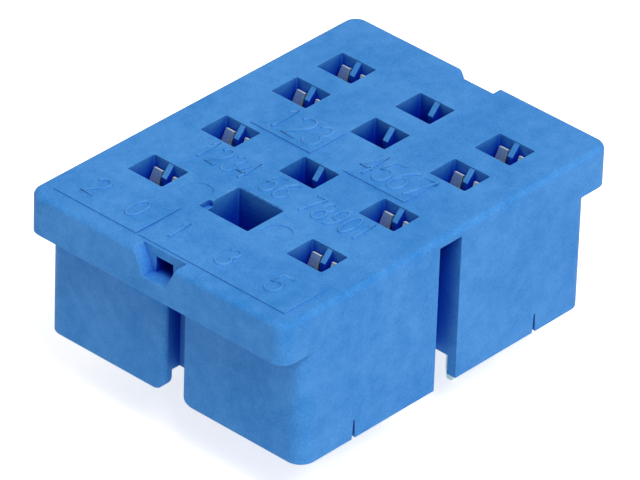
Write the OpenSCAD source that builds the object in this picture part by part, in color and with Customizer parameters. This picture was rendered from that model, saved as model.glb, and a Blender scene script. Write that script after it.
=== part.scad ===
// Board-mount socket for a two-pole plug-in relay with flat blades.
// Origin: centre of the housing on the plane of the circuit board.
// +X runs from the coil end to the contact end, +Y across, +Z up to the relay.

/* [Housing] */
// Length of the top plate
plate_l = 29.2; // [28.4:0.1:31]
// Width of the top plate and of the body below it
body_w = 21.3; // [20.6:0.1:24]
// Length of the body below the top plate
body_l = 25.5; // [25:0.1:27]
// Height of the top face above the board
height = 10.9; // [10:0.1:14]
// Thickness of the top plate where it overhangs the body
plate_t = 2.85; // [2.4:0.05:3.4]
// Corner radius of the top plate in plan
plate_r = 1.0; // [0.6:0.1:1.6]
// Corner radius of the body in plan
body_r = 1.1; // [0.9:0.1:1.6]
// Rounding of the upper edges of the top plate
edge_r = 0.4; // [0.2:0.05:0.5]
// Fillet between the body's ends and the overhang of the top plate
under_r = 0.3; // [0.1:0.05:0.5]

/* [Skirt] */
// Thickness of the skirt that stands on the board
skirt_t = 0.7; // [0.5:0.05:0.85]
// Height of the skirt below the core
skirt_h = 1.35; // [0.8:0.05:1.8]
// Distance of the skirt slits from the middle of the housing
slit_x = 8.15; // [6:0.05:9.5]
// Width of a skirt slit at the board
slit_w = 0.3; // [0.2:0.05:0.6]
// Width of a skirt slit at its upper end
slit_tip_w = 0.12; // [0.08:0.02:0.18]

/* [Blade grid] */
// Distance from the coil row back to the middle of the housing
coil_x = 7.44; // [7.3:0.02:7.6]
// Pitch from the coil row to the common row
coil_pitch = 6.35; // [6.1:0.05:6.6]
// Pitch from the common row to the normally open row
open_pitch = 6.35; // [6.1:0.05:6.6]
// Pitch from the normally open row to the normally closed row
closed_pitch = 4.1; // [3.8:0.05:4.3]
// Distance between the two pole columns
pole_pitch = 13.15; // [12.5:0.05:13.4]

/* [Cells] */
// Length of a cell, across the blade
cell_l = 2.34; // [2.2:0.01:2.45]
// Width of a cell, along the blade
cell_w = 2.9; // [2.8:0.05:3.05]
// Corner radius of a cell
cell_r = 0.12; // [0.08:0.02:0.3]
// Thickness of the guide rib in a cell
rib_t = 0.4; // [0.3:0.05:0.6]
// How far a guide rib stands out of the cell wall
rib_out = 0.65; // [0.45:0.05:0.7]
// Height of the slope at a guide rib's upper end
rib_slope = 0.7; // [0.3:0.05:1.2]
// Drop of a guide rib below the top face
rib_drop = 0.1; // [0.05:0.01:0.5]
// Height of a guide rib's foot above the board
rib_foot_z = 4.0; // [3.6:0.1:4.6]

/* [Key well] */
// Length of the key well
key_l = 3.2; // [2.6:0.1:3.4]
// Width of the key well
key_w = 3.75; // [3:0.05:5]
// Distance of the key well from the coil row towards the contacts
key_shift = 0.54; // [0.3:0.02:0.7]
// Length of the scoop worn into a corner of the key well
scoop_l = 0.95; // [0.6:0.05:1.2]
// How far the scoop reaches past the key well's side
scoop_out = 0.3; // [0.1:0.05:0.5]
// Depth of the scoop
scoop_d = 0.4; // [0.2:0.05:0.8]

/* [Clip anchors] */
// Width of the clip groove in a short end
groove_w = 1.46; // [1.2:0.02:1.8]
// Depth of the clip groove in a short end
groove_d = 1.35; // [1.1:0.05:1.6]
// Radius where the body's face turns into the clip groove
groove_lip_r = 0.35; // [0.2:0.05:0.5]
// Lead-in radius at the foot of the clip groove
groove_lead_r = 0.9; // [0.5:0.1:1.3]
// Width of the funnel at the top face
funnel_top_w = 3.6; // [3.2:0.1:4.4]
// Width of the funnel at its ledge
funnel_foot_w = 1.8; // [1.7:0.05:2.4]
// Depth of the funnel from the end of the top plate
funnel_d = 0.95; // [0.7:0.05:1.15]
// Height of the ledge under the funnel
ledge_h = 1.1; // [0.8:0.1:1.3]
// Width of the catch hole behind the funnel
catch_w = 1.4; // [1.1:0.05:1.6]
// Height of the catch hole behind the funnel
catch_h = 1.15; // [0.9:0.05:1.2]

/* [Side slots] */
// Width of the slot in each long side
slot_w = 1.95; // [1.5:0.05:2.5]
// Depth of the slot in each long side
slot_d = 2.0; // [1.5:0.1:2.2]
// Thickness of the roof over a side slot
slot_roof = 0.6; // [0.55:0.05:1]

/* [Label pads] */
// Height of the blank label pads above the top face
pad_h = 0.1; // [0.05:0.01:0.2]
// Distance of the end pads from the coil end of the top plate
pad_margin_x = 1.15; // [1:0.05:1.5]
// Distance of the end pads from the long sides of the top plate
pad_margin_y = 1.1; // [0.9:0.05:1.4]
// Length of the end pads
end_pad_l = 3.85; // [3:0.05:3.9]
// Distance of the gap between the end pads from the middle of the housing
pad_split_y = 2.5; // [2:0.1:4]
// Gap between the end pads
pad_gap = 0.25; // [0.15:0.05:0.5]
// Length of the middle pads
mid_pad_l = 3.2; // [2:0.1:3.6]
// Width of the middle pads
mid_pad_w = 5.0; // [3:0.1:5.2]

/* [Ejector marks] */
// Diameter of the two ejector marks in the top face
ejector_d = 2.0; // [1:0.1:2.4]
// Depth of the ejector marks
ejector_depth = 0.06; // [0.03:0.01:0.15]

/* [Contacts] */
// Thickness of the contact sheet
sheet_t = 0.22; // [0.2:0.01:0.32]
// Width of a contact's leaves
leaf_w = 2.6; // [2.4:0.05:2.65]
// Width of the leaves at their tips
leaf_tip_w = 2.3; // [2:0.05:2.4]
// Length over which the leaves narrow to their tips
leaf_taper = 1.2; // [0.6:0.1:2]
// Width of the fork in the guided leaf
fork_w = 0.9; // [0.75:0.05:1]
// Gap between the leaves where they pinch the blade
pinch_gap = 0.4; // [0.3:0.05:0.5]
// Clearance between a leaf and the cell wall behind it
back_gap = 0.1; // [0.05:0.01:0.12]
// Depth of the leaf tips below the top face
leaf_drop = 0.65; // [0.3:0.05:0.9]
// Height of a contact's base above the underside of the core
base_gap = 0.35; // [0.1:0.05:0.5]
// Bend radius outside a contact's base
bend_r = 0.6; // [0.45:0.05:0.7]
// Height of the barbs above a contact's base
barb_z = 0.9; // [0.8:0.05:1.1]
// Height of one barb
barb_h = 0.8; // [0.5:0.05:0.8]

/* [Pins] */
// Length of the pins below the board plane
pin_l = 4.05; // [3:0.05:5]
// Width of a pin
pin_w = 0.65; // [0.5:0.05:1.2]
// Width of a pin's tip
tip_w = 0.4; // [0.3:0.05:0.5]
// Length of the taper at a pin's tip
tip_l = 0.8; // [0.5:0.1:1.2]

/* [Hidden] */
$fn = 48;
eps = 0.01;

housing_color = [0.16, 0.47, 0.80];
contact_color = [0.80, 0.79, 0.74];

half_pole = pole_pitch / 2;
row_coil = -coil_x;
row_common = row_coil + coil_pitch;
row_open = row_common + open_pitch;
row_closed = row_open + closed_pitch;

plate_z = height - plate_t;
body_end = body_l / 2;
plate_end = plate_l / 2;
side_y = body_w / 2;
key_x = row_coil + key_shift;
ledge_z = plate_z + ledge_h;
catch_z = ledge_z;
shaft_top_z = catch_z + catch_h;
mid_pad_x = (row_common + row_open) / 2;
mid_pad_y = half_pole / 2 + cell_w / 5;
pad_y = side_y - pad_margin_y;
pad_x = plate_end - pad_margin_x;

leaf_face = cell_l / 2 - back_gap - sheet_t;
leaf_back = leaf_face + sheet_t;
leaf_top_z = height - leaf_drop;
bow_half = (leaf_top_z - rib_foot_z) / 2;
bow_mid_z = (leaf_top_z + rib_foot_z) / 2;
bow_sag = leaf_face - pinch_gap / 2;
bow_r = (bow_half * bow_half + bow_sag * bow_sag) / (2 * bow_sag);
base_z = skirt_h + base_gap;

// ---------------------------------------------------------------- helpers

// Rectangle in plan with round corners
module round_rect(l, w, r) {
    square([l - 2 * r, w], center = true);
    square([l, w - 2 * r], center = true);
    for (sx = [-1, 1], sy = [-1, 1])
        translate([sx * (l / 2 - r), sy * (w / 2 - r)])
            circle(r);
}

// Side view of a plate from its middle plane out, with a round upper edge
module plate_profile(half, t, r) {
    square([half, t - r]);
    square([half - r, t]);
    translate([half - r, t - r])
        circle(r);
}

// Plate with round corners in plan and round upper edges all the way
module soft_plate(l, w, t, r, er) {
    for (turn = [0, 180])
        rotate([90, 0, turn])
            linear_extrude(w - 2 * r, center = true)
                plate_profile(l / 2, t, er);
    for (turn = [90, 270])
        rotate([90, 0, turn])
            linear_extrude(l - 2 * r, center = true)
                plate_profile(w / 2, t, er);
    for (sx = [-1, 1], sy = [-1, 1])
        translate([sx * (l / 2 - r), sy * (w / 2 - r), 0])
            rotate_extrude()
                intersection() {
                    plate_profile(r, t, er);
                    square([r, t]);
                }
}

// Slab that fills the concave side of a round edge, to be cut away
module edge_cutter(r) {
    difference() {
        square(r + eps);
        circle(r);
    }
}

// ---------------------------------------------------------------- housing

// Places of the twelve cells: the middle column carries no contacts,
// and the key well takes the place of its coil cell
module at_cells() {
    for (x = [row_coil, row_common, row_open, row_closed], y = [-half_pole, 0, half_pole])
        if (x != row_coil || y != 0)
            translate([x, y, 0])
                children();
}

// Hole of one cell, from the underside of the core to the top face
module cell_hole() {
    translate([0, 0, -eps])
        linear_extrude(height + 2 * eps)
            round_rect(cell_l, cell_w, cell_r);
}

// Guide rib on the cell wall that faces the coil end
module cell_rib() {
    rib_top = height - rib_drop;
    wall = cell_l / 2;
    rotate([90, 0, 0])
        linear_extrude(rib_t, center = true)
            polygon([
                [wall + eps, rib_foot_z],
                [wall + eps, rib_top],
                [wall, rib_top],
                [wall - rib_out, rib_top - rib_slope],
                [wall - rib_out, rib_foot_z]
            ]);
}

// Clip anchor at the +X end: groove and shaft below, funnel and catch hole above
module clip_anchor() {
    shaft_floor = body_end - groove_d;
    translate([shaft_floor, -groove_w / 2, -eps])
        cube([groove_d + eps, groove_w, plate_z + 2 * eps]);
    translate([shaft_floor, -groove_w / 2, 0])
        cube([groove_d, groove_w, shaft_top_z]);
    // Round lips beside the groove
    for (s = [-1, 1])
        translate([body_end - groove_lip_r, s * (groove_w / 2 + groove_lip_r), -eps])
            scale([1, -s, 1])
                linear_extrude(plate_z + eps)
                    edge_cutter(groove_lip_r);
    // Round lead-ins at the foot of the groove
    for (s = [0, 1])
        mirror([0, s, 0])
            translate([shaft_floor, groove_w / 2 + groove_lead_r, groove_lead_r])
                rotate([90, 0, 90])
                    rotate(180)
                        linear_extrude(groove_d + eps)
                            edge_cutter(groove_lead_r);
    // Funnel in the end of the top plate
    funnel_floor = plate_end - funnel_d;
    translate([funnel_floor, 0, 0])
        rotate([90, 0, 90])
            linear_extrude(funnel_d + eps)
                polygon([
                    [-funnel_foot_w / 2, ledge_z],
                    [funnel_foot_w / 2, ledge_z],
                    [funnel_top_w / 2, height + eps],
                    [-funnel_top_w / 2, height + eps]
                ]);
    // Catch hole from the funnel through to the shaft
    translate([shaft_floor, -catch_w / 2, catch_z])
        cube([plate_end - shaft_floor, catch_w, catch_h]);
}

// Slot in the long side that faces +Y, open at the board
module side_slot() {
    translate([-slot_w / 2, side_y - slot_d, -eps])
        cube([slot_w, slot_d + eps, height - slot_roof + eps]);
}

// Slits that split the skirt of the long side that faces +Y
module skirt_slits() {
    for (s = [-1, 1])
        translate([s * slit_x, side_y + eps, 0])
            rotate([90, 0, 0])
                linear_extrude(skirt_t + 2 * eps)
                    polygon([
                        [-slit_w / 2, -eps],
                        [slit_w / 2, -eps],
                        [slit_tip_w / 2, skirt_h],
                        [-slit_tip_w / 2, skirt_h]
                    ]);
}

// Blank label pads, a trace above the top face
module label_pads() {
    left_w = pad_y - pad_split_y - pad_gap / 2;
    right_w = pad_y + pad_split_y - pad_gap / 2;
    translate([0, 0, height - eps]) {
        translate([-pad_x, pad_y - left_w, 0])
            cube([end_pad_l, left_w, pad_h + eps]);
        translate([-pad_x, -pad_y, 0])
            cube([end_pad_l, right_w, pad_h + eps]);
        for (s = [-1, 1])
            translate([mid_pad_x - mid_pad_l / 2, s * mid_pad_y - mid_pad_w / 2, 0])
                cube([mid_pad_l, mid_pad_w, pad_h + eps]);
    }
}

// Round marks that the mould's ejectors leave in the top face
module ejector_marks() {
    for (s = [-1, 1])
        translate([row_coil, s * half_pole / 2, height - ejector_depth])
            cylinder(h = ejector_depth + eps, d = ejector_d);
}

// Key well through the housing, with the scoop at its corner
module key_well() {
    translate([0, 0, -eps])
        linear_extrude(height + 2 * eps)
            round_rect(key_l, key_w, cell_r);
    translate([(scoop_l - key_l) / 2, (key_w - scoop_l) / 2 + scoop_out, height - scoop_d])
        linear_extrude(scoop_d + eps)
            round_rect(scoop_l, scoop_l, cell_r);
}

// Fillet under the overhang of the top plate at the +X end
module under_fillet() {
    translate([body_end + under_r, 0, plate_z - under_r])
        rotate([90, 0, 0])
            rotate(90)
                linear_extrude(body_w - 2 * body_r, center = true)
                    edge_cutter(under_r);
}

module housing() {
    color(housing_color) {
        difference() {
            union() {
                translate([0, 0, plate_z])
                    soft_plate(plate_l, body_w, plate_t, plate_r, edge_r);
                linear_extrude(plate_z + eps)
                    round_rect(body_l, body_w, body_r);
                for (turn = [0, 180])
                    rotate(turn)
                        under_fillet();
                label_pads();
            }
            translate([0, 0, -eps])
                linear_extrude(skirt_h + eps)
                    round_rect(body_l - 2 * skirt_t, body_w - 2 * skirt_t, body_r - skirt_t);
            at_cells()
                cell_hole();
            translate([key_x, 0, 0])
                key_well();
            ejector_marks();
            for (turn = [0, 180])
                rotate(turn) {
                    clip_anchor();
                    side_slot();
                    skirt_slits();
                }
        }
        at_cells()
            cell_rib();
    }
}

// ---------------------------------------------------------------- contacts

// Side view of one bowed leaf on the +X side of the blade, cut square at its tip
module leaf_profile() {
    bow_x = pinch_gap / 2 + bow_r;
    reach = bow_r + sheet_t;
    tip_angle = asin(bow_half / bow_r);
    intersection() {
        translate([bow_x, bow_mid_z])
            difference() {
                circle(bow_r, $fn = 180);
                circle(bow_r - sheet_t, $fn = 180);
            }
        polygon([
            [bow_x, rib_foot_z],
            [bow_x, bow_mid_z],
            [bow_x - reach * cos(tip_angle), bow_mid_z + reach * sin(tip_angle)],
            [bow_x - reach, rib_foot_z]
        ]);
    }
}

// Wedge beside the leaves' tips on the +Y side, to be cut away
module tip_taper() {
    translate([-cell_l / 2, 0, leaf_top_z])
        rotate([90, 0, 90])
            linear_extrude(cell_l)
                polygon([
                    [leaf_tip_w / 2, 0],
                    [leaf_tip_w / 2, sheet_t],
                    [leaf_w / 2 + sheet_t, sheet_t],
                    [leaf_w / 2 + sheet_t, -leaf_taper],
                    [leaf_w / 2, -leaf_taper]
                ]);
}

// Side view of the bent base that joins the two leaves
module base_profile() {
    module shell(half, foot, r) {
        translate([-half, foot + r])
            square([2 * half, rib_foot_z - foot - r]);
        translate([-half + r, foot])
            square([2 * (half - r), r + eps]);
        for (s = [-1, 1])
            translate([s * (half - r), foot + r])
                circle(r);
    }
    difference() {
        shell(leaf_back, base_z, bend_r);
        shell(leaf_face, base_z + sheet_t, bend_r - sheet_t);
        translate([-leaf_back, rib_foot_z])
            square([2 * leaf_back, bend_r]);
    }
}

// Barbs that hold a contact between the cell walls
module barbs() {
    for (side = [-1, 1], edge = [-1, 1])
        translate([side * (leaf_face + sheet_t / 2), 0, base_z + barb_z])
            rotate([90, 0, 90])
                linear_extrude(sheet_t, center = true)
                    polygon([
                        [edge * (leaf_w / 2 - eps), 0],
                        [edge * cell_w / 2, 0],
                        [edge * (leaf_w / 2 - eps), barb_h]
                    ]);
}

// Flat pin with a tapered tip
module pin() {
    rotate([90, 0, 90])
        linear_extrude(sheet_t, center = true)
            polygon([
                [-pin_w / 2, base_z + sheet_t / 2],
                [-pin_w / 2, tip_l - pin_l],
                [-tip_w / 2, -pin_l],
                [tip_w / 2, -pin_l],
                [pin_w / 2, tip_l - pin_l],
                [pin_w / 2, base_z + sheet_t / 2]
            ]);
}

// Stamped contact: forked leaf on the rib's side, plain leaf opposite, pin below
module contact(x, y) {
    color(contact_color)
        translate([x, y, 0]) {
            difference() {
                rotate([90, 0, 0])
                    linear_extrude(leaf_w, center = true) {
                        leaf_profile();
                        mirror([1, 0])
                            leaf_profile();
                        base_profile();
                    }
                translate([0, -fork_w / 2, rib_foot_z])
                    cube([cell_l, fork_w, height]);
                tip_taper();
                mirror([0, 1, 0])
                    tip_taper();
            }
            barbs();
            pin();
        }
}

module contact_a1() {
    contact(row_coil, half_pole);
}

module contact_a2() {
    contact(row_coil, -half_pole);
}

module contact_11() {
    contact(row_common, half_pole);
}

module contact_14() {
    contact(row_open, half_pole);
}

module contact_12() {
    contact(row_closed, half_pole);
}

module contact_21() {
    contact(row_common, -half_pole);
}

module contact_24() {
    contact(row_open, -half_pole);
}

module contact_22() {
    contact(row_closed, -half_pole);
}

housing();
contact_a1();
contact_a2();
contact_11();
contact_12();
contact_14();
contact_21();
contact_22();
contact_24();
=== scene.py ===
"""Looks of the relay socket: moulded blue housing, tinned contacts, soft studio light."""

import math

import bpy
from mathutils import Matrix, Vector


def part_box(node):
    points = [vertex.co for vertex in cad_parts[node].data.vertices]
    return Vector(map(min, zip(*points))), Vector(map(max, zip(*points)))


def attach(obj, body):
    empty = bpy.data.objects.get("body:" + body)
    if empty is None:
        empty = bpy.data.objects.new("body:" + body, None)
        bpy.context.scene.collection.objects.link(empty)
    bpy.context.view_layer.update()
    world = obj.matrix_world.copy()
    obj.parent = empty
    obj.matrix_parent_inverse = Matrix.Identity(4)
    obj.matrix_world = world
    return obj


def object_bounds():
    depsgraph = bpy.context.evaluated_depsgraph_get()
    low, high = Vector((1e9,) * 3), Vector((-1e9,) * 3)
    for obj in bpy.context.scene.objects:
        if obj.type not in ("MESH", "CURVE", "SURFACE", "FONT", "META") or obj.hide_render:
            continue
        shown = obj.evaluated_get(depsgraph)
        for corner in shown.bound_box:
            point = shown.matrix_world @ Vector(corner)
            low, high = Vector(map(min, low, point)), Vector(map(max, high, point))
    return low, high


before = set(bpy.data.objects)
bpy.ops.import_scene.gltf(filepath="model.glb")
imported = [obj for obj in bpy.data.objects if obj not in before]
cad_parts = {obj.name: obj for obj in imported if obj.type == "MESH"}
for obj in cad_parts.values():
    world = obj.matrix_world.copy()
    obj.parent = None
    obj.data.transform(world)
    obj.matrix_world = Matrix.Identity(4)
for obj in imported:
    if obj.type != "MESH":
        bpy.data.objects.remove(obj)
cad_low, cad_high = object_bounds()

MM = 0.001
HOUSING = "housing"
CONTACTS = sorted(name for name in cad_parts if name.startswith("contact_"))

housing_low, housing_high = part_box(HOUSING)
LABEL_PAD_RISE = 0.1 * MM
PAD_Z = housing_high.z
TOP_Z = PAD_Z - LABEL_PAD_RISE


# ---------------------------------------------------------------- camera

VIEW_TARGET = Vector((-6.09 * MM, -5.56 * MM, TOP_Z))
VIEW_AZIMUTH = math.radians(-138.166)
VIEW_ELEVATION = math.radians(33.129)
VIEW_ROLL = math.radians(2.010)
VIEW_DISTANCE = 430.06 * MM
LENS = 405.1
SENSOR = 36.0
CLIP_START = 10 * MM
CLIP_END = 10.0


def add_camera():
    """Long lens on the corner between the coil end and the -Y side."""
    data = bpy.data.cameras.new("camera")
    data.lens = LENS
    data.sensor_width = SENSOR
    data.clip_start = CLIP_START
    data.clip_end = CLIP_END
    camera = bpy.data.objects.new("camera", data)
    bpy.context.scene.collection.objects.link(camera)

    back = Vector((
        math.cos(VIEW_ELEVATION) * math.cos(VIEW_AZIMUTH),
        math.cos(VIEW_ELEVATION) * math.sin(VIEW_AZIMUTH),
        math.sin(VIEW_ELEVATION),
    ))
    level = Vector((-math.sin(VIEW_AZIMUTH), math.cos(VIEW_AZIMUTH), 0))
    upright = back.cross(level)
    right = level * math.cos(VIEW_ROLL) + upright * math.sin(VIEW_ROLL)
    up = back.cross(right)
    turn = Matrix((right, up, back)).transposed().to_4x4()
    place = Matrix.Translation(VIEW_TARGET + back * VIEW_DISTANCE)
    camera.matrix_world = place @ turn
    bpy.context.scene.camera = camera


# ---------------------------------------------------------------- node helpers

# Sockets of a Mix node set to colour
MIX_FACTOR = 0
MIX_FIRST = 6
MIX_SECOND = 7
MIX_RESULT = 2


def new_group(name, inputs, outputs):
    """Shader node group with named float inputs (name, default) and named outputs (name, kind)."""
    group = bpy.data.node_groups.new(name, "ShaderNodeTree")
    for label, default in inputs:
        socket = group.interface.new_socket(label, in_out="INPUT", socket_type="NodeSocketFloat")
        socket.default_value = default
    for label, kind in outputs:
        group.interface.new_socket(label, in_out="OUTPUT", socket_type=kind)
    entry = group.nodes.new("NodeGroupInput")
    leave = group.nodes.new("NodeGroupOutput")
    return group, entry, leave


def place_group(tree, group, **values):
    """Puts a group in a material and sets its inputs."""
    node = tree.nodes.new("ShaderNodeGroup")
    node.node_tree = group
    for label, value in values.items():
        node.inputs[label.replace("_", " ")].default_value = value
    return node


def noise(tree, vector, scale, detail, roughness=0.5):
    """Noise texture whose scale is in features per millimetre when vector is in millimetres."""
    node = tree.nodes.new("ShaderNodeTexNoise")
    node.inputs["Detail"].default_value = detail
    node.inputs["Roughness"].default_value = roughness
    tree.links.new(vector, node.inputs["Vector"])
    if isinstance(scale, (int, float)):
        node.inputs["Scale"].default_value = scale
    else:
        tree.links.new(scale, node.inputs["Scale"])
    return node.outputs["Fac"]


def calculate(tree, operation, first, second=0.0, third=0.0, clamp=False):
    """Math node; each operand is a number or a socket."""
    node = tree.nodes.new("ShaderNodeMath")
    node.operation = operation
    node.use_clamp = clamp
    for socket, value in zip(node.inputs, (first, second, third)):
        if isinstance(value, (int, float)):
            socket.default_value = value
        else:
            tree.links.new(value, socket)
    return node.outputs[0]


def spread(tree, value, low, high, to_low=0.0, to_high=1.0):
    """Map Range node, clamped."""
    node = tree.nodes.new("ShaderNodeMapRange")
    limits = {"From Min": low, "From Max": high, "To Min": to_low, "To Max": to_high}
    for label, number in limits.items():
        node.inputs[label].default_value = number
    tree.links.new(value, node.inputs["Value"])
    return node.outputs["Result"]


def blend_colours(tree, mask, first, second):
    """Mix of two colours; each is a colour or a socket."""
    node = tree.nodes.new("ShaderNodeMix")
    node.data_type = "RGBA"
    tree.links.new(mask, node.inputs[MIX_FACTOR])
    for place, value in ((MIX_FIRST, first), (MIX_SECOND, second)):
        if isinstance(value, tuple):
            node.inputs[place].default_value = value
        else:
            tree.links.new(value, node.inputs[place])
    return node.outputs[MIX_RESULT]


def millimetres(tree):
    """Object coordinates in millimetres."""
    coordinates = tree.nodes.new("ShaderNodeTexCoord")
    scaled = tree.nodes.new("ShaderNodeVectorMath")
    scaled.operation = "SCALE"
    scaled.inputs["Scale"].default_value = 1 / MM
    tree.links.new(coordinates.outputs["Object"], scaled.inputs[0])
    return scaled.outputs["Vector"]


# ---------------------------------------------------------------- shared effects

# Broad patches per cloud
PATCH_SHARE = 0.22

# Cosines between a face's own normal and its rounded one, where the painted edge highlight starts
# and where it is full
SMOOTH_EDGE = 0.995
SHARP_EDGE = 0.85

BEVEL_SAMPLES = 6
HIGHLIGHT_PATCHES_PER_MM = 2.5
OPENNESS_SAMPLES = 8


def make_surface_grain():
    """Fine grain and slow unevenness of a worked surface, in millimetre scales."""
    inputs = [("Grain per mm", 8.0), ("Cloud per mm", 0.5)]
    outputs = [(label, "NodeSocketFloat") for label in ("Grain", "Clouds", "Patches")]
    group, entry, leave = new_group("surface_grain", inputs, outputs)
    place = millimetres(group)
    grain = noise(group, place, entry.outputs["Grain per mm"], detail=3.0, roughness=0.6)
    clouds = noise(group, place, entry.outputs["Cloud per mm"], detail=2.0, roughness=0.5)
    broad = calculate(group, "MULTIPLY", entry.outputs["Cloud per mm"], PATCH_SHARE)
    patches = noise(group, place, broad, detail=1.0, roughness=0.4)
    group.links.new(grain, leave.inputs["Grain"])
    group.links.new(clouds, leave.inputs["Clouds"])
    group.links.new(patches, leave.inputs["Patches"])
    return group


def make_edge_highlight():
    """Mask of sharp edges, broken up by noise, where a paler painted highlight goes."""
    inputs = [("Radius", 0.1 * MM), ("Amount", 1.0)]
    group, entry, leave = new_group("painted_edge_highlight", inputs, [("Mask", "NodeSocketFloat")])
    bevel = group.nodes.new("ShaderNodeBevel")
    bevel.samples = BEVEL_SAMPLES
    group.links.new(entry.outputs["Radius"], bevel.inputs["Radius"])
    geometry = group.nodes.new("ShaderNodeNewGeometry")
    dot = group.nodes.new("ShaderNodeVectorMath")
    dot.operation = "DOT_PRODUCT"
    group.links.new(bevel.outputs["Normal"], dot.inputs[0])
    group.links.new(geometry.outputs["Normal"], dot.inputs[1])
    edge = spread(group, dot.outputs["Value"], SMOOTH_EDGE, SHARP_EDGE)
    broken = noise(group, millimetres(group), HIGHLIGHT_PATCHES_PER_MM, detail=3.0)
    patches = spread(group, broken, 0.35, 0.65, to_low=0.35)
    mask = calculate(group, "MULTIPLY", edge, patches)
    mask = calculate(group, "MULTIPLY", mask, entry.outputs["Amount"], clamp=True)
    group.links.new(mask, leave.inputs["Mask"])
    return group


def make_recess_shade():
    """Mask for painted shade: rises from 0 on open faces to 1 deep inside cells and slots, where
    little light reaches.
    """
    inputs = [("Reach", 6.0 * MM), ("Open", 0.6), ("Deep", 0.05)]
    group, entry, leave = new_group("painted_recess_shade", inputs, [("Mask", "NodeSocketFloat")])
    openness = group.nodes.new("ShaderNodeAmbientOcclusion")
    openness.samples = OPENNESS_SAMPLES
    openness.only_local = True
    group.links.new(entry.outputs["Reach"], openness.inputs["Distance"])
    ramp = group.nodes.new("ShaderNodeMapRange")
    group.links.new(openness.outputs["AO"], ramp.inputs["Value"])
    group.links.new(entry.outputs["Open"], ramp.inputs["From Min"])
    group.links.new(entry.outputs["Deep"], ramp.inputs["From Max"])
    group.links.new(ramp.outputs["Result"], leave.inputs["Mask"])
    return group


# ---------------------------------------------------------------- materials

PLASTIC_DEEP = (0.030, 0.205, 0.570, 1.0)
PLASTIC_PALE = (0.074, 0.290, 0.690, 1.0)
# Paler blue: a painted highlight along sharp edges of the housing, and rubbed wear on the raised
# strokes
PLASTIC_RUBBED_AND_HIGHLIGHT = (0.120, 0.370, 0.760, 1.0)
# Painted shade inside cells and slots: deeper blue with depth, darkest at their bottoms
PLASTIC_SHADED = (0.000, 0.075, 0.470, 1.0)
PLASTIC_DEEP_SHADE = (0.000, 0.004, 0.380, 1.0)
# Satin silver tinted blue-green: the tint is a painted reflection of the blue walls around the
# leaves
TIN_BRIGHT = (0.560, 0.760, 0.780, 1.0)
TIN_DULL = (0.470, 0.650, 0.670, 1.0)
# Near-white painted highlight on the up-facing sheared tips of the leaves
TIN_SHEARED_HIGHLIGHT = (0.960, 0.950, 0.900, 1.0)

BLUE_GRAIN_PER_MM = 6.5
BLUE_CLOUDS_PER_MM = 1.1
BLUE_HIGHLIGHT_RADIUS = 0.12 * MM
BLUE_HIGHLIGHT_AMOUNT = 0.5
BLUE_EDGE_ROUND = 0.06 * MM
BLUE_BUMP = 0.8
BLUE_BUMP_HEIGHT = 0.03 * MM
BLUE_IOR = 1.5
BLUE_SPECULAR = 0.1

# Reach and openness limits of the painted shade in recesses
RECESS_REACH = 6.0 * MM
RECESS_OPEN = 0.54
RECESS_DEEP = 0.10

TIN_GRAIN_PER_MM = 14.0
TIN_CLOUDS_PER_MM = 1.6
TIN_METALLIC = 0.8
SHEARED_METALLIC = 0.3
SHEARED_ROUGHER = 0.2
TIN_EDGE_ROUND = 0.04 * MM
TIN_BUMP = 0.03
TIN_BUMP_HEIGHT = 0.01 * MM


def new_material(name):
    """Material with a Principled shader; returns it, its tree and the shader."""
    material = bpy.data.materials.new(name)
    material.use_nodes = True
    tree = material.node_tree
    shader = tree.nodes["Principled BSDF"]
    return material, tree, shader


def blue_grain(tree, grain_group):
    """The grain that both blue finishes share."""
    return place_group(
        tree,
        grain_group,
        Grain_per_mm=BLUE_GRAIN_PER_MM,
        Cloud_per_mm=BLUE_CLOUDS_PER_MM,
    )


def make_plastic(grain_group, edge_highlight_group, recess_shade_group):
    """Blue moulding: mottled and matt, with a painted highlight along sharp edges and painted shade
    deep inside its cells and slots.
    """
    material, tree, shader = new_material("moulded_blue_plastic")
    grain = blue_grain(tree, grain_group)
    edge_highlight = place_group(tree, edge_highlight_group, Radius=BLUE_HIGHLIGHT_RADIUS, Amount=BLUE_HIGHLIGHT_AMOUNT)
    recess_shade = place_group(tree, recess_shade_group, Reach=RECESS_REACH, Open=RECESS_OPEN, Deep=RECESS_DEEP)
    # Painted highlight: sharp edges drawn paler blue, standing in for light caught on their rounds
    highlit_edges = blend_colours(tree, edge_highlight.outputs["Mask"], mottled_blue(tree, grain), PLASTIC_RUBBED_AND_HIGHLIGHT)
    # Painted shade: deeper and darker blue towards the bottoms of cells and slots
    shade_mask = spread(tree, recess_shade.outputs["Mask"], 0.0, 0.6)
    shaded = blend_colours(tree, shade_mask, highlit_edges, PLASTIC_SHADED)
    deep_shade_mask = spread(tree, recess_shade.outputs["Mask"], 0.5, 1.0)
    colour = blend_colours(tree, deep_shade_mask, shaded, PLASTIC_DEEP_SHADE)
    tree.links.new(colour, shader.inputs["Base Color"])
    bump = matt_moulding(tree, grain, shader)
    round_edges(tree, bump, BLUE_EDGE_ROUND)
    return material


def make_relief_plastic(grain_group):
    """The same blue moulding on raised strokes, a little paler where fingers rub it."""
    material, tree, shader = new_material("moulded_blue_relief")
    grain = blue_grain(tree, grain_group)
    body = mottled_blue(tree, grain)
    worn = spread(tree, grain.outputs["Clouds"], 0.4, 0.8, to_low=0.1, to_high=0.5)
    tree.links.new(blend_colours(tree, worn, body, PLASTIC_RUBBED_AND_HIGHLIGHT), shader.inputs["Base Color"])
    matt_moulding(tree, grain, shader)
    return material


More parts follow.
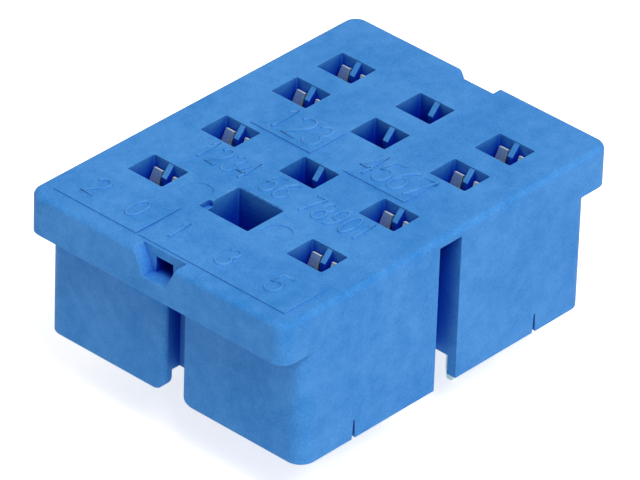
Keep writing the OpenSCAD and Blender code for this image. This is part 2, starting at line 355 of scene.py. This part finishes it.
def mottled_blue(tree, grain):
    """Pigment colour, uneven at three scales."""
    mottle = spread(tree, grain.outputs["Clouds"], 0.3, 0.7)
    fleck = spread(tree, grain.outputs["Grain"], 0.35, 0.65)
    patch = spread(tree, grain.outputs["Patches"], 0.35, 0.65, to_low=-0.2, to_high=0.2)
    tone = calculate(tree, "MULTIPLY_ADD", mottle, 0.45, patch)
    tone = calculate(tree, "MULTIPLY_ADD", fleck, 0.55, tone, clamp=True)
    return blend_colours(tree, tone, PLASTIC_DEEP, PLASTIC_PALE)


def matt_moulding(tree, grain, shader):
    """Matt, lightly sparked surface; returns the bump node."""
    roughness = spread(tree, grain.outputs["Grain"], 0.3, 0.7, to_low=0.46, to_high=0.60)
    tree.links.new(roughness, shader.inputs["Roughness"])
    height = calculate(tree, "MULTIPLY_ADD", grain.outputs["Clouds"], 1.6, grain.outputs["Grain"])
    shader.inputs["IOR"].default_value = BLUE_IOR
    shader.inputs["Specular IOR Level"].default_value = BLUE_SPECULAR
    return add_bump(tree, shader, height, BLUE_BUMP, BLUE_BUMP_HEIGHT)


def add_bump(tree, shader, height, strength, distance):
    """Bump node between a height and the shader's normal."""
    bump = tree.nodes.new("ShaderNodeBump")
    bump.inputs["Strength"].default_value = strength
    bump.inputs["Distance"].default_value = distance
    tree.links.new(height, bump.inputs["Height"])
    tree.links.new(bump.outputs["Normal"], shader.inputs["Normal"])
    return bump


def round_edges(tree, bump, radius):
    """Softens the light on sharp edges, as a small round would."""
    round_edge = tree.nodes.new("ShaderNodeBevel")
    round_edge.samples = BEVEL_SAMPLES
    round_edge.inputs["Radius"].default_value = radius
    tree.links.new(round_edge.outputs["Normal"], bump.inputs["Normal"])


def facing_up(tree):
    """1 on faces that look up, such as the sheared tips of the leaves, else 0."""
    geometry = tree.nodes.new("ShaderNodeNewGeometry")
    parts = tree.nodes.new("ShaderNodeSeparateXYZ")
    tree.links.new(geometry.outputs["True Normal"], parts.inputs[0])
    return spread(tree, parts.outputs["Z"], 0.75, 0.9)


def make_tin(grain_group):
    """Tinned spring sheet: satin silver with a painted blue-green reflection tint; the sheared tips
    that face up are duller and painted paler as a highlight.
    """
    material, tree, shader = new_material("tinned_spring_sheet")
    grain = place_group(
        tree,
        grain_group,
        Grain_per_mm=TIN_GRAIN_PER_MM,
        Cloud_per_mm=TIN_CLOUDS_PER_MM,
    )
    clouds = spread(tree, grain.outputs["Clouds"], 0.3, 0.7)
    body = blend_colours(tree, clouds, TIN_DULL, TIN_BRIGHT)
    # Painted highlight: faces that look up, the sheared tips, drawn near-white; they are also
    # rougher and less metallic
    sheared_and_highlit = facing_up(tree)
    colour = blend_colours(tree, sheared_and_highlit, body, TIN_SHEARED_HIGHLIGHT)
    tree.links.new(colour, shader.inputs["Base Color"])
    satin = spread(tree, grain.outputs["Grain"], 0.3, 0.7, to_low=0.26, to_high=0.32)
    roughness = calculate(tree, "MULTIPLY_ADD", sheared_and_highlit, SHEARED_ROUGHER, satin)
    tree.links.new(roughness, shader.inputs["Roughness"])
    metallic = spread(tree, sheared_and_highlit, 0.0, 1.0, to_low=TIN_METALLIC, to_high=SHEARED_METALLIC)
    tree.links.new(metallic, shader.inputs["Metallic"])
    bump = add_bump(tree, shader, grain.outputs["Grain"], TIN_BUMP, TIN_BUMP_HEIGHT)
    round_edges(tree, bump, TIN_EDGE_ROUND)
    return material


def dress(node, material):
    """Gives a CAD node its finish."""
    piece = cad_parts[node]
    piece.data.materials.clear()
    piece.data.materials.append(material)


# ---------------------------------------------------------------- raised numbers

ARC_STEPS = 14
STROKE_RADIUS = 0.11 * MM
STROKE_RISE = 0.12 * MM

# Strokes that cross lie at heights this far apart, so that no two faces coincide
STROKE_STEP = 0.008 * MM
STROKE_LEVELS = 3

FLASH_RADIUS = 0.08 * MM
FLASH_RISE = 0.075 * MM
FLASH_STEPS = 24

# Depth in millimetres and pace of the two waves that make the flash ragged
FLASH_WAVES = ((0.03, 17.0), (0.02, 41.0))

# The two flashed rims of the key well, in millimetres
LONG_RIM_X = -5.19
LONG_RIM_START_Y = 1.80
LONG_RIM_LENGTH = 3.50
SHORT_RIM_START_X = -5.35
SHORT_RIM_LENGTH = 1.85
SHORT_RIM_Y = 1.96
SHORT_RIM_RIPPLE = 1.4


def arc(centre_x, centre_y, radius_x, radius_y, start, stop):
    """Points of an elliptic arc; angles in degrees, counter-clockwise from +x."""
    points = []
    for step in range(ARC_STEPS + 1):
        angle = math.radians(start + (stop - start) * step / ARC_STEPS)
        x = centre_x + radius_x * math.cos(angle)
        y = centre_y + radius_y * math.sin(angle)
        points.append((x, y))
    return points


def digit_strokes(digit, width):
    """Pen strokes of one digit in a cell of this width and 1 high."""
    half = width / 2
    strokes = {
        "0": [arc(half, 0.5, half, 0.5, 0, 360)],
        "1": [[(half * 0.4, 0.82), (half, 1.0), (half, 0.0)]],
        "2": [arc(half, 0.72, half, 0.28, 165, -25) + [(0.0, 0.0), (width, 0.0)]],
        "3": [arc(half, 0.76, half * 0.9, 0.24, 160, -55) + arc(half, 0.26, half, 0.26, 60, -160)],
        "4": [[(width * 0.75, 0.0), (width * 0.75, 1.0), (0.0, 0.3), (width, 0.3)]],
        "5": [[(width, 1.0), (0.1 * width, 1.0), (0.0, 0.5)] + arc(half, 0.3, half, 0.3, 110, -150)],
        "6": [arc(half, 0.3, half, 0.3, 0, 360), arc(width, 0.3, width, 0.7, 90, 180)],
        "7": [[(0.0, 1.0), (width, 1.0), (width * 0.3, 0.0)]],
        "8": [arc(half, 0.75, half * 0.9, 0.25, 0, 360), arc(half, 0.26, half, 0.26, 0, 360)],
        "9": [arc(half, 0.7, half, 0.3, 0, 360), arc(0.0, 0.7, width, 0.7, -90, 0)],
    }
    return strokes[digit]


def raise_strokes(name, strokes, material, face_z, radius, rise):
    """Round-backed moulded strokes on a face; each stroke is a list of (x, y)."""
    data = bpy.data.curves.new(name, "CURVE")
    data.dimensions = "3D"
    data.bevel_depth = radius
    data.bevel_resolution = 1
    data.use_fill_caps = True
    for number, stroke in enumerate(strokes):
        spline = data.splines.new("POLY")
        spline.points.add(len(stroke) - 1)
        axis_z = face_z + rise - radius - number % STROKE_LEVELS * STROKE_STEP
        for point, (x, y) in zip(spline.points, stroke):
            point.co = (x, y, axis_z, 1.0)
    data.materials.append(material)
    piece = bpy.data.objects.new(name, data)
    bpy.context.scene.collection.objects.link(piece)
    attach(piece, "root")


def raise_numbers(name, text, material, face_z, low_x, start_y, stop_y, height, width):
    """Row of moulded digits on a face: tops towards +X, read towards -Y; width is per height."""
    pitch = (start_y - stop_y - width * height) / (len(text) - 1)
    strokes = []
    for place, letter in enumerate(text):
        if letter == " ":
            continue
        for stroke in digit_strokes(letter, width):
            line = []
            for across, up in stroke:
                line.append((low_x + up * height, start_y - place * pitch - across * height))
            strokes.append(line)
    raise_strokes(name, strokes, material, face_z, STROKE_RADIUS, STROKE_RISE)


def add_flash(material):
    """Ragged line of flash along two rims of the key well."""
    long_rim = []
    short_rim = []
    for step in range(FLASH_STEPS + 1):
        part = step / FLASH_STEPS
        ripple = sum(depth * math.sin(part * pace) for depth, pace in FLASH_WAVES)
        long_x = LONG_RIM_X + ripple
        long_y = LONG_RIM_START_Y - LONG_RIM_LENGTH * part
        long_rim.append((long_x * MM, long_y * MM))
        short_x = SHORT_RIM_START_X - SHORT_RIM_LENGTH * part
        short_y = SHORT_RIM_Y + SHORT_RIM_RIPPLE * ripple
        short_rim.append((short_x * MM, short_y * MM))
    rims = [long_rim, short_rim]
    raise_strokes("mould_flash", rims, material, TOP_Z, FLASH_RADIUS, FLASH_RISE)


# ---------------------------------------------------------------- stage

# Strength of the surroundings as light, and of the floor's glow where it is seen directly
WORLD_LEVEL = 0.4
FLOOR_GLOW = 0.7

FLOOR_HALF = 4.0
FLOOR_COLOUR = (0.86, 0.86, 0.86, 1.0)
FLOOR_ROUGHNESS = 0.9
WHITE = (1.0, 1.0, 1.0, 1.0)

# Soft box over the -Y side, in metres and watts
KEY_DIRECTION = (-0.20, -0.54, 0.84)
KEY_DISTANCE = 0.6
KEY_SIZE = 0.30
KEY_POWER = 2.9


def seen_directly(tree):
    """1 on rays from the camera, from a mirror-like surface or through glass, else 0."""
    path = tree.nodes.new("ShaderNodeLightPath")
    camera_ray = path.outputs["Is Camera Ray"]
    glossy_ray = path.outputs["Is Glossy Ray"]
    mirrored = calculate(tree, "MAXIMUM", camera_ray, glossy_ray)
    return calculate(tree, "MAXIMUM", mirrored, path.outputs["Is Transmission Ray"])


def add_floor():
    """Pale floor under the pins, drawn white where no shadow falls, and clear from beneath."""
    mesh = bpy.data.meshes.new("floor")
    corners = []
    for x, y in ((-1, -1), (1, -1), (1, 1), (-1, 1)):
        corners.append((x * FLOOR_HALF, y * FLOOR_HALF, cad_low.z))
    mesh.from_pydata(corners, [], [(0, 1, 2, 3)])
    floor = bpy.data.objects.new("floor", mesh)
    bpy.context.scene.collection.objects.link(floor)
    material, tree, shader = new_material("pale_floor")
    shader.inputs["Base Color"].default_value = FLOOR_COLOUR
    shader.inputs["Roughness"].default_value = FLOOR_ROUGHNESS
    glow = tree.nodes.new("ShaderNodeEmission")
    glow.inputs["Strength"].default_value = FLOOR_GLOW
    both = tree.nodes.new("ShaderNodeAddShader")
    choice = tree.nodes.new("ShaderNodeMixShader")
    output = tree.nodes["Material Output"]
    tree.links.new(shader.outputs[0], both.inputs[0])
    tree.links.new(glow.outputs[0], both.inputs[1])
    tree.links.new(seen_directly(tree), choice.inputs[0])
    tree.links.new(shader.outputs[0], choice.inputs[1])
    tree.links.new(both.outputs[0], choice.inputs[2])
    side = tree.nodes.new("ShaderNodeNewGeometry")
    clear = tree.nodes.new("ShaderNodeBsdfTransparent")
    sides = tree.nodes.new("ShaderNodeMixShader")
    tree.links.new(side.outputs["Backfacing"], sides.inputs[0])
    tree.links.new(choice.outputs[0], sides.inputs[1])
    tree.links.new(clear.outputs[0], sides.inputs[2])
    tree.links.new(sides.outputs[0], output.inputs["Surface"])
    mesh.materials.append(material)


def add_lamp(name, direction, distance, size, power):
    """Square soft box that looks at the middle of the housing."""
    data = bpy.data.lights.new(name, "AREA")
    data.size = size
    data.energy = power
    lamp = bpy.data.objects.new(name, data)
    bpy.context.scene.collection.objects.link(lamp)
    aim = (housing_low + housing_high) / 2
    away = Vector(direction).normalized()
    lamp.location = aim + away * distance
    lamp.rotation_mode = "QUATERNION"
    lamp.rotation_quaternion = away.to_track_quat("Z", "Y")


def add_world():
    """White surroundings, seen as white and lighting the part at a lower level."""
    world = bpy.data.worlds.new("studio")
    bpy.context.scene.world = world
    world.use_nodes = True
    tree = world.node_tree
    background = tree.nodes["Background"]
    background.inputs["Color"].default_value = WHITE
    level = spread(tree, seen_directly(tree), 0.0, 1.0, to_low=WORLD_LEVEL)
    tree.links.new(level, background.inputs["Strength"])


# ---------------------------------------------------------------- build

bpy.context.scene.view_settings.view_transform = "Standard"
add_camera()
grain_group = make_surface_grain()
edge_highlight_group = make_edge_highlight()
recess_shade_group = make_recess_shade()
plastic = make_plastic(grain_group, edge_highlight_group, recess_shade_group)
relief = make_relief_plastic(grain_group)
tin = make_tin(grain_group)

dress(HOUSING, plastic)
for contact in CONTACTS:
    dress(contact, tin)

# Foot of the digits in each row
BAND_X = -4.60 * MM
PAD_X = 1.0 * MM
END_X = -12.4 * MM

raise_numbers(
    "numbers_band", "1234 56 78901", relief, TOP_Z, BAND_X,
    start_y=6.4 * MM, stop_y=-7.2 * MM, height=2.0 * MM, width=0.38,
)
raise_numbers(
    "numbers_pad_left", "123", relief, PAD_Z, PAD_X,
    start_y=5.6 * MM, stop_y=1.8 * MM, height=2.4 * MM, width=0.44,
)
raise_numbers(
    "numbers_end_left", "20", relief, PAD_Z, END_X,
    start_y=8.2 * MM, stop_y=3.9 * MM, height=1.9 * MM, width=0.50,
)
raise_numbers(
    "numbers_end_right", "135", relief, PAD_Z, END_X,
    start_y=1.4 * MM, stop_y=-7.6 * MM, height=1.9 * MM, width=0.50,
)
raise_numbers(
    "numbers_pad_right", "4567", relief, PAD_Z, PAD_X,
    start_y=-1.7 * MM, stop_y=-6.4 * MM, height=2.4 * MM, width=0.40,
)
add_flash(relief)

add_floor()
add_world()
add_lamp("key", KEY_DIRECTION, KEY_DISTANCE, KEY_SIZE, KEY_POWER)
